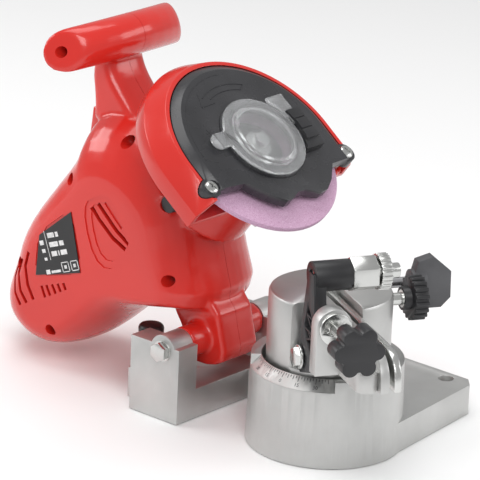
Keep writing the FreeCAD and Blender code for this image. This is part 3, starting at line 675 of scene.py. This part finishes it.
def scale_marks():
    """Angle ticks and numbers on the pedestal's bevelled edge."""
    low, high = Vector((42.5, 44.0)), Vector((36.8, 50.0))
    slope = (high - low).normalized()
    pieces = []
    for step in range(-16, 17):
        a = math.radians(180.0 + step * 2.5)
        out, side = Vector((math.cos(a), math.sin(a), 0.0)), Vector((-math.sin(a), math.cos(a), 0.0))
        up = out * slope.x + Vector((0.0, 0.0, slope.y))
        normal = side.cross(up)
        length = 3.2 if step % 6 == 0 else 2.4 if step % 2 == 0 else 1.4
        base = out * high.x + Vector((0.0, 0.0, high.y)) - up * 0.5
        facing = Matrix((side, up, normal)).transposed().to_4x4()
        sunk = Matrix.Translation((base - normal * 0.02) * MM) @ facing
        pieces.append(box_piece("tick", (-0.17, -length, 0.0), (0.17, 0.0, 0.07), sunk))
        if step % 6 == 0:
            curve = bpy.data.curves.new("number", "FONT")
            curve.body = str(abs(step) * 5 // 2)
            curve.size = 3.0 * MM
            curve.extrude = 0.03 * MM
            curve.align_x = "CENTER"
            curve.resolution_u = 3
            number = bpy.data.objects.new("number", curve)
            bpy.context.collection.objects.link(number)
            bpy.context.view_layer.update()
            graph = bpy.context.evaluated_depsgraph_get()
            mesh = bpy.data.meshes.new_from_object(number.evaluated_get(graph))
            bpy.data.objects.remove(number)
            place = base - up * 6.2 + normal * 0.02
            pieces.append(link("number", mesh, Matrix.Translation(place * MM) @ facing))
    piece = join(pieces, "scale_marks")
    finished(piece, "base", "dark_ink")


def label_marks():
    """Plain bars, frames and blocks where a rating plate has its print."""
    run, rise = Vector((-0.93, 0.368)), Vector((0.368, 0.93))
    middle = Vector((171.0, 75.0))
    pieces = []

    def bar(u, v, width, height):
        square = ((0, 0), (1, 0), (1, 1), (0, 1))
        corners = [middle + run * (u + a * width) + rise * (v + b * height) for a, b in square]
        rings = [[(x, c.x, c.y) for c in corners] for x in (-38.69, -38.62)]
        pieces.append(ringed("ink", rings))

    for row, words in enumerate(((5.5, 2.2), (7.0, 3.6), (4.4, 1.0, 5.0))):
        u = -4.5
        for word in words:
            bar(u, 8.0 - row * 5.4, word, 2.9)
            u += word + 1.1
    bar(-6.6, -4.6, 0.35, 17.0)
    for row in range(3):
        bar(-12.0 + 0.4 * row, 4.6 - row * 4.6, 3.2 - 0.5 * row, 2.7 - 0.5 * row)
    edges = ((0, 0, 6.0, 0.5), (0, 5.5, 6.0, 0.5), (0, 0, 0.5, 6.0), (5.5, 0, 0.5, 6.0))
    for u in (1.0, 8.5):
        for a, b, width, height in edges:
            bar(u + a, -13.0 + b, width, height)
        bar(u + 2.0, -11.0, 2.0, 2.0)
    bar(-12.5, -12.6, 3.2, 2.6)
    bar(-8.2, -12.4, 7.6, 1.5)
    piece = join(pieces, "label_print")
    finished(piece, "head", "white_ink")


def arm_ribs():
    """Thin ribs that cross the open pocket in the chain stop arm."""
    pieces = []
    lines = (((-31.0, 80.0), (-46.5, 79.0)), ((-32.5, 88.5), (-42.5, 87.5)), ((-46.0, 79.0), (-33.0, 88.0)),
             ((-33.0, 74.0), (-46.0, 78.5)), ((-33.5, 95.0), (-42.0, 88.0)), ((-48.5, 71.0), (-36.0, 79.0)))
    for start, end in lines:
        run = Vector((end[0] - start[0], end[1] - start[1])).normalized()
        n = Vector((-run.y, run.x)) * 0.55
        loop = [(start[0] + n.x, start[1] + n.y), (end[0] + n.x, end[1] + n.y),
                (end[0] - n.x, end[1] - n.y), (start[0] - n.x, start[1] - n.y)]
        pieces.append(ringed("rib", [[(x, y, z) for y, z in loop] for x in (-26.3, -24.1)], VISE))
    piece = join(pieces, "arm_ribs")
    finished(piece, "stop", "black_plastic")


def holder_grooves():
    """The two grooves and the lower step on the insert holder's face."""
    return [box_piece("groove", (19.0, 2.9, 16.7), (37.0, 3.7, 19.0), HEAD),
            box_piece("groove", (19.0, -4.4, 16.7), (37.0, -3.6, 19.0), HEAD),
            box_piece("step", (19.0, -17.0, 16.2), (37.0, -10.5, 19.0), HEAD)]


# ------------------------------------------------------------ build
add_camera()
add_stage()
for node, piece in frame["nodes"].items():
    piece.data.materials.clear()
    piece.data.materials.append(LOOKS[SLOT_OF[node]])
housing()
for node, width in {"base_casting": 0.9, "vise_drum": 0.5, "jaw_plate": 0.6, "wheel_guard": 0.7,
                    "wing_knob": 0.6, "stop_arm": 0.5, "clear_insert": 0.4,
                    "feed_knob": 1.2, "clamp_knob": 0.4, "rest_knob": 0.8, "screw_nut_disc": 0.3,
                    "arm_pivot_bolt": 0.3, "pivot_bolt": 0.35, "stop_sleeve": 0.4, "knurled_ring": 0.2,
                    "stop_shaft": 0.5, "window_cover": 0.4, "paddle_switch": 0.8, "lock_button": 0.5,
                    "outer_flange": 0.4, "spindle_screw": 0.3, "cord_inlet": 0.5}.items():
    refined(node, width)
refined("wheel_cover", 0.6, "cover_plastic")
refined("insert_holder", 0.35, cutters=holder_grooves())
refined("grinding_wheel", 0.4)
refined("near_jaw", 0.6, "machined_aluminium")
frame["nodes"]["feed_screw"].data.materials[0] = LOOKS["thread_y"]

arm_ribs()
housing_screws()
cross_screws()
cover_marks()
scale_marks()
label_marks()
